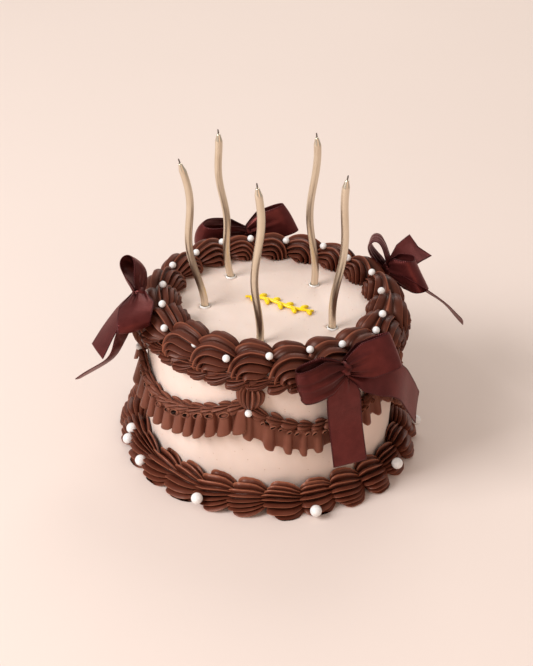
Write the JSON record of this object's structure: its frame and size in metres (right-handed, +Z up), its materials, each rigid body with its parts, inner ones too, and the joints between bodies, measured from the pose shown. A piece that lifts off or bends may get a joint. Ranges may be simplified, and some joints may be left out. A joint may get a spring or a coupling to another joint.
{
  "type": "birthday cake with candles",
  "caption": "Round buttercream birthday cake with piped shell borders, ruffled swags, ribbon bows, small pearls and tall wavy candles.",
  "frame": {"origin": "centre of the cake's flat round base, where it rests on its board or plate", "axes": "+Z up through the middle of the cake, -Y towards the front of the cake as pictured, +X to its right"},
  "size_m": [0.246, 0.2024, 0.1992],
  "materials": {
    "beige_buttercream": "smoothed beige buttercream with fine pores and scraper marks",
    "chocolate_buttercream": "piped chocolate buttercream with a soft fatty sheen and sharp ridges",
    "maroon_satin": "double-faced maroon satin ribbon with woven selvages",
    "champagne_wax": "wax with a metallic champagne-gold coat",
    "wick_thread": "dark waxed cotton wick",
    "white_cup": "white moulded candle holder",
    "yellow_icing": "thin piped yellow icing"
  },
  "bodies": {
    "root": {"back_bow": "maroon_satin", "base_border": "chocolate_buttercream", "cake_body": "beige_buttercream", "candle_1": "champagne_wax", "candle_2": "champagne_wax", "candle_3": "champagne_wax", "candle_4": "champagne_wax", "candle_5": "champagne_wax", "candle_cup_1": "white_cup", "candle_cup_2": "white_cup", "candle_cup_3": "white_cup", "candle_cup_4": "white_cup", "candle_cup_5": "white_cup", "front_bow": "maroon_satin", "left_bow": "maroon_satin", "piped_flourish": "yellow_icing", "right_bow": "maroon_satin", "swag_1": "chocolate_buttercream", "swag_2": "chocolate_buttercream", "swag_3": "chocolate_buttercream", "swag_4": "chocolate_buttercream", "swag_5": "chocolate_buttercream", "swag_drop_1": "chocolate_buttercream", "swag_drop_2": "chocolate_buttercream", "swag_drop_3": "chocolate_buttercream", "swag_drop_4": "chocolate_buttercream", "swag_drop_5": "chocolate_buttercream", "top_border": "chocolate_buttercream", "upper_side_border": "chocolate_buttercream", "wick_1": "wick_thread", "wick_2": "wick_thread", "wick_3": "wick_thread", "wick_4": "wick_thread", "wick_5": "wick_thread"}
  },
  "joints": []
}
